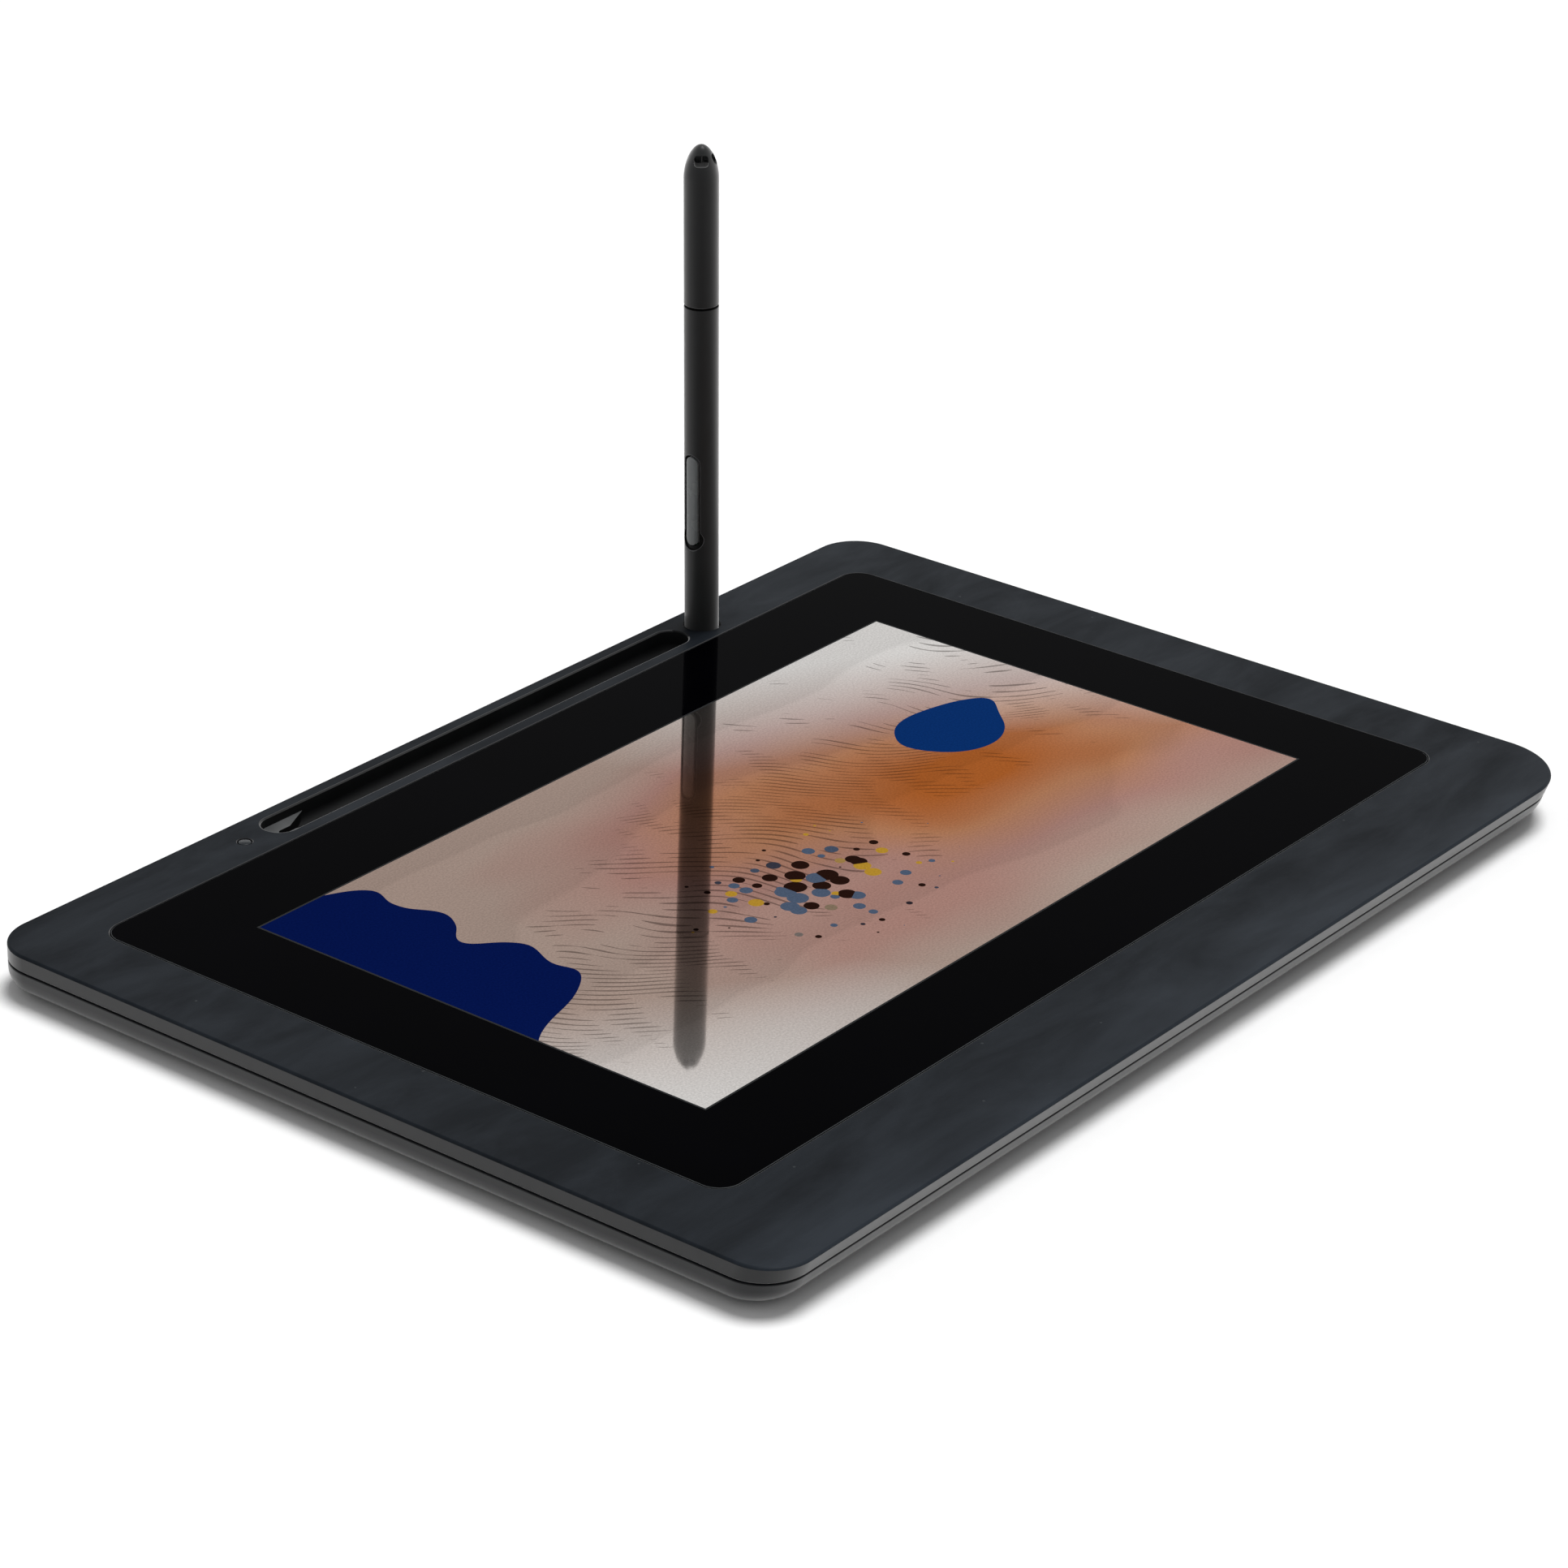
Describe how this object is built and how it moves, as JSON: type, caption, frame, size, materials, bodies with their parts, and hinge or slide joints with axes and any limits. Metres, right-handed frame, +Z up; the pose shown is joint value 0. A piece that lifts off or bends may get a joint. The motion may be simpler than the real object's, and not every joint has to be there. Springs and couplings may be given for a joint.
{
  "type": "pen display",
  "caption": "Flat drawing display with a glass screen in a slim dark housing, a pen tray along its back edge and a slim pen standing upright in a hole beside the tray.",
  "frame": {"origin": "under the middle of the housing, on the surface that it lies on", "axes": "+X to the user's right, +Y away from the user towards the pen tray, +Z up"},
  "size_m": [0.308, 0.219, 0.1375],
  "materials": {
    "shell": "matte",
    "cover": "matte",
    "glass": "polished",
    "foam": "matte",
    "panel": "satin",
    "light_guide": "satin",
    "sheet": "satin",
    "steel": "satin",
    "frame": "matte",
    "board": "satin",
    "rubber": "matte",
    "pipe": "gloss",
    "key": "satin",
    "pen": "matte",
    "nib": "matte",
    "copper": "satin"
  },
  "bodies": {
    "base": {"front_housing": "shell", "rear_cover": "cover", "cover_glass": "glass", "glass_gasket": "foam", "lcd_panel": "panel", "backlight": "light_guide", "digitizer_sheet": "sheet", "shield_plate": "steel", "panel_frame": "frame", "status_light_pipe": "pipe", "main_board": "board", "data_socket": "steel", "power_switch": "steel", "panel_cable": "sheet", "screw_front_left": "steel", "screw_front_middle": "steel", "screw_front_right": "steel", "screw_back_left": "steel", "screw_back_middle": "steel", "screw_back_right": "steel", "foot_front_left": "rubber", "foot_front_right": "rubber", "foot_back_left": "rubber", "foot_back_right": "rubber"},
    "power_key": {"power_button": "key"},
    "pen": {"pen_barrel": "pen", "pen_cap": "pen", "pen_plug": "pen", "pen_carrier": "frame", "pen_board": "board", "pen_tact_switch": "steel", "resonator_coil": "copper", "pressure_sensor": "frame"},
    "pen_key": {"side_switch": "key"},
    "pen_nib": {"nib": "nib"}
  },
  "joints": [
    {"name": "power_press", "type": "slide", "parent": "base", "child": "power_key", "axis": [0, -1, 0], "range_m": [0, 0.0004], "stiffness_N_per_m": 1200, "springref_m": -0.001},
    {"name": "pen_lift", "type": "slide", "parent": "base", "child": "pen", "axis": [-0.0218, 0, 0.9998], "range_m": [0, 0.03]},
    {"name": "side_switch_press", "type": "hinge", "parent": "pen", "child": "pen_key", "pos_m": [0.07804, 0.101, 0.05612], "axis": [0, -1, 0], "range_deg": [0, 1.2], "stiffness_Nm_per_rad": 0.5, "springref_deg": -2.86},
    {"name": "nib_press", "type": "slide", "parent": "pen", "child": "pen_nib", "axis": [-0.0218, 0, 0.9998], "range_m": [0, 0.0004], "stiffness_N_per_m": 2000, "springref_m": -0.0002}
  ]
}
